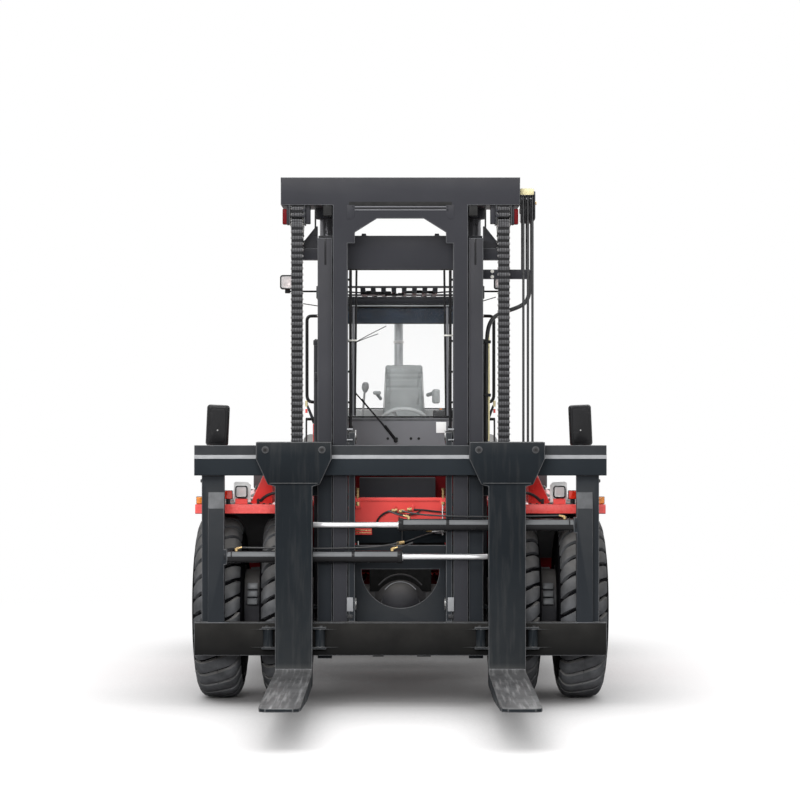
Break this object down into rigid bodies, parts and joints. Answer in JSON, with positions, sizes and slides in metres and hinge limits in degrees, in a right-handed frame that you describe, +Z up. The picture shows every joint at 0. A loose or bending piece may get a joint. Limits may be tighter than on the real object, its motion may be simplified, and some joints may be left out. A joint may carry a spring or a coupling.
{
  "type": "diesel counterbalance forklift",
  "caption": "Heavy diesel counterbalance forklift with a two-stage mast, hook-on forks moved by positioner cylinders, enclosed cab, twin drive wheels and a steered rear axle",
  "frame": {"origin": "centre of the bounding box's base, on the floor under the machine", "axes": "+Z up, the forks point along -Y, +X is the machine's left side"},
  "size_m": [3.066, 8.74, 3.8368],
  "materials": {
    "mast_paint": "satin anthracite paint",
    "fork_steel": "worn anthracite paint on forged steel",
    "red_paint": "gloss red paint",
    "weight_paint": "textured dark grey paint on casting",
    "tyre_rubber": "black tyre rubber",
    "rim_paint": "light grey paint",
    "rod_chrome": "polished hard chrome",
    "chain_steel": "oiled steel",
    "axle_paint": "black paint on casting",
    "cab_glass": "clear lightly tinted glass",
    "black_trim": "black textured plastic",
    "seat_vinyl": "dark grey vinyl",
    "hose_rubber": "black hose rubber",
    "engine_iron": "grey painted iron",
    "lamp_body": "clear and coloured lamp lenses"
  },
  "bodies": {
    "chassis": {"frame_rails": "red_paint", "chassis_frame": "red_paint", "front_axle": "axle_paint", "fenders": "red_paint", "side_tanks": "red_paint", "valve_block": "black_trim", "counterweight": "weight_paint", "radiator_grille": "black_trim", "engine_block": "engine_iron", "exhaust_stack": "axle_paint", "cab_shell": "red_paint", "cab_roof": "mast_paint", "cab_glass": "cab_glass", "seat_base": "black_trim", "seat": "seat_vinyl", "dashboard": "black_trim", "steering_wheel": "black_trim", "grab_rails": "mast_paint", "mirrors": "black_trim", "lamps": "lamp_body", "rear_axle": "axle_paint"},
    "door_left": {"door_left": "mast_paint", "door_glass_left": "cab_glass"},
    "door_right": {"door_right": "mast_paint", "door_glass_right": "cab_glass"},
    "engine_hood": {"engine_hood": "red_paint"},
    "front_wheels_left": {"front_tyres_left": "tyre_rubber", "front_rims_left": "rim_paint"},
    "front_wheels_right": {"front_tyres_right": "tyre_rubber", "front_rims_right": "rim_paint"},
    "knuckle_left": {"knuckle_left": "axle_paint"},
    "knuckle_right": {"knuckle_right": "axle_paint"},
    "rear_wheel_left": {"rear_tyre_left": "tyre_rubber", "rear_rim_left": "rim_paint"},
    "rear_wheel_right": {"rear_tyre_right": "tyre_rubber", "rear_rim_right": "rim_paint"},
    "outer_mast": {"outer_mast": "mast_paint", "lift_cylinders": "mast_paint", "chain_tails": "chain_steel", "hose_bundle": "hose_rubber"},
    "tilt_cylinders": {"tilt_cylinders": "mast_paint"},
    "tilt_rods": {"tilt_rods": "rod_chrome"},
    "inner_mast": {"inner_mast": "mast_paint", "lift_rods": "rod_chrome", "chain_sheaves": "axle_paint"},
    "fork_carriage": {"fork_carriage": "mast_paint", "positioner_cylinders": "mast_paint", "lift_chains": "chain_steel"},
    "fork_left": {"fork_left": "fork_steel", "positioner_rod_left": "rod_chrome"},
    "fork_right": {"fork_right": "fork_steel", "positioner_rod_right": "rod_chrome"}
  },
  "joints": [
    {"name": "mast_tilt", "type": "hinge", "parent": "chassis", "child": "outer_mast", "pos_m": [0, -1.28, 0.56], "axis": [1, 0, 0], "range_deg": [-10, 5]},
    {"name": "tilt_cylinder_swing", "type": "hinge", "parent": "chassis", "child": "tilt_cylinders", "pos_m": [0.702, -0.78, 1.545], "axis": [1, 0, 0], "range_deg": [-4.5, 2.5]},
    {"name": "tilt_rod_slide", "type": "slide", "parent": "tilt_cylinders", "child": "tilt_rods", "axis": [0, -0.9969, 0.0783], "range_m": [-0.2, 0.1]},
    {"name": "mast_lift", "type": "slide", "parent": "outer_mast", "child": "inner_mast", "axis": [0, 0, 1], "range_m": [-0.06, 1.36], "deforming": ["chain_tails"]},
    {"name": "carriage_lift", "type": "slide", "parent": "inner_mast", "child": "fork_carriage", "axis": [0, 0, 1], "range_m": [-0.06, 1.36], "deforming": ["lift_chains"]},
    {"name": "fork_left_shift", "type": "slide", "parent": "fork_carriage", "child": "fork_left", "axis": [1, 0, 0], "range_m": [-0.44, 0.42]},
    {"name": "fork_right_shift", "type": "slide", "parent": "fork_carriage", "child": "fork_right", "axis": [-1, 0, 0], "range_m": [-0.44, 0.42]},
    {"name": "front_wheels_left_spin", "type": "hinge", "parent": "chassis", "child": "front_wheels_left", "pos_m": [1.3405, -0.98, 0.685], "axis": [1, 0, 0], "continuous": true},
    {"name": "front_wheels_right_spin", "type": "hinge", "parent": "chassis", "child": "front_wheels_right", "pos_m": [-1.3405, -0.98, 0.685], "axis": [1, 0, 0], "continuous": true},
    {"name": "steer_left", "type": "hinge", "parent": "chassis", "child": "knuckle_left", "pos_m": [0.93, 3.02, 0.685], "axis": [0, 0, 1], "range_deg": [-60, 60]},
    {"name": "steer_right", "type": "hinge", "parent": "chassis", "child": "knuckle_right", "pos_m": [-0.93, 3.02, 0.685], "axis": [0, 0, 1], "range_deg": [-60, 60]},
    {"name": "rear_wheel_left_spin", "type": "hinge", "parent": "knuckle_left", "child": "rear_wheel_left", "pos_m": [1.18, 3.02, 0.685], "axis": [1, 0, 0], "continuous": true},
    {"name": "rear_wheel_right_spin", "type": "hinge", "parent": "knuckle_right", "child": "rear_wheel_right", "pos_m": [-1.18, 3.02, 0.685], "axis": [1, 0, 0], "continuous": true},
    {"name": "door_left_swing", "type": "hinge", "parent": "chassis", "child": "door_left", "pos_m": [0.641, 0.82, 2.2], "axis": [0, 0, 1], "range_deg": [0, 85]},
    {"name": "door_right_swing", "type": "hinge", "parent": "chassis", "child": "door_right", "pos_m": [-0.641, 0.82, 2.2], "axis": [0, 0, -1], "range_deg": [0, 85]},
    {"name": "hood_lift", "type": "hinge", "parent": "chassis", "child": "engine_hood", "pos_m": [0, 3.65, 2], "axis": [-1, 0, 0], "range_deg": [0, 50]}
  ],
  "couplings": [
    {"joint": "tilt_cylinder_swing", "follows": "mast_tilt", "ratio": 0.387},
    {"joint": "tilt_rod_slide", "follows": "mast_tilt", "m_per_rad": 1.029},
    {"joint": "carriage_lift", "follows": "mast_lift", "ratio": 1},
    {"joint": "steer_right", "follows": "steer_left", "ratio": 1}
  ]
}
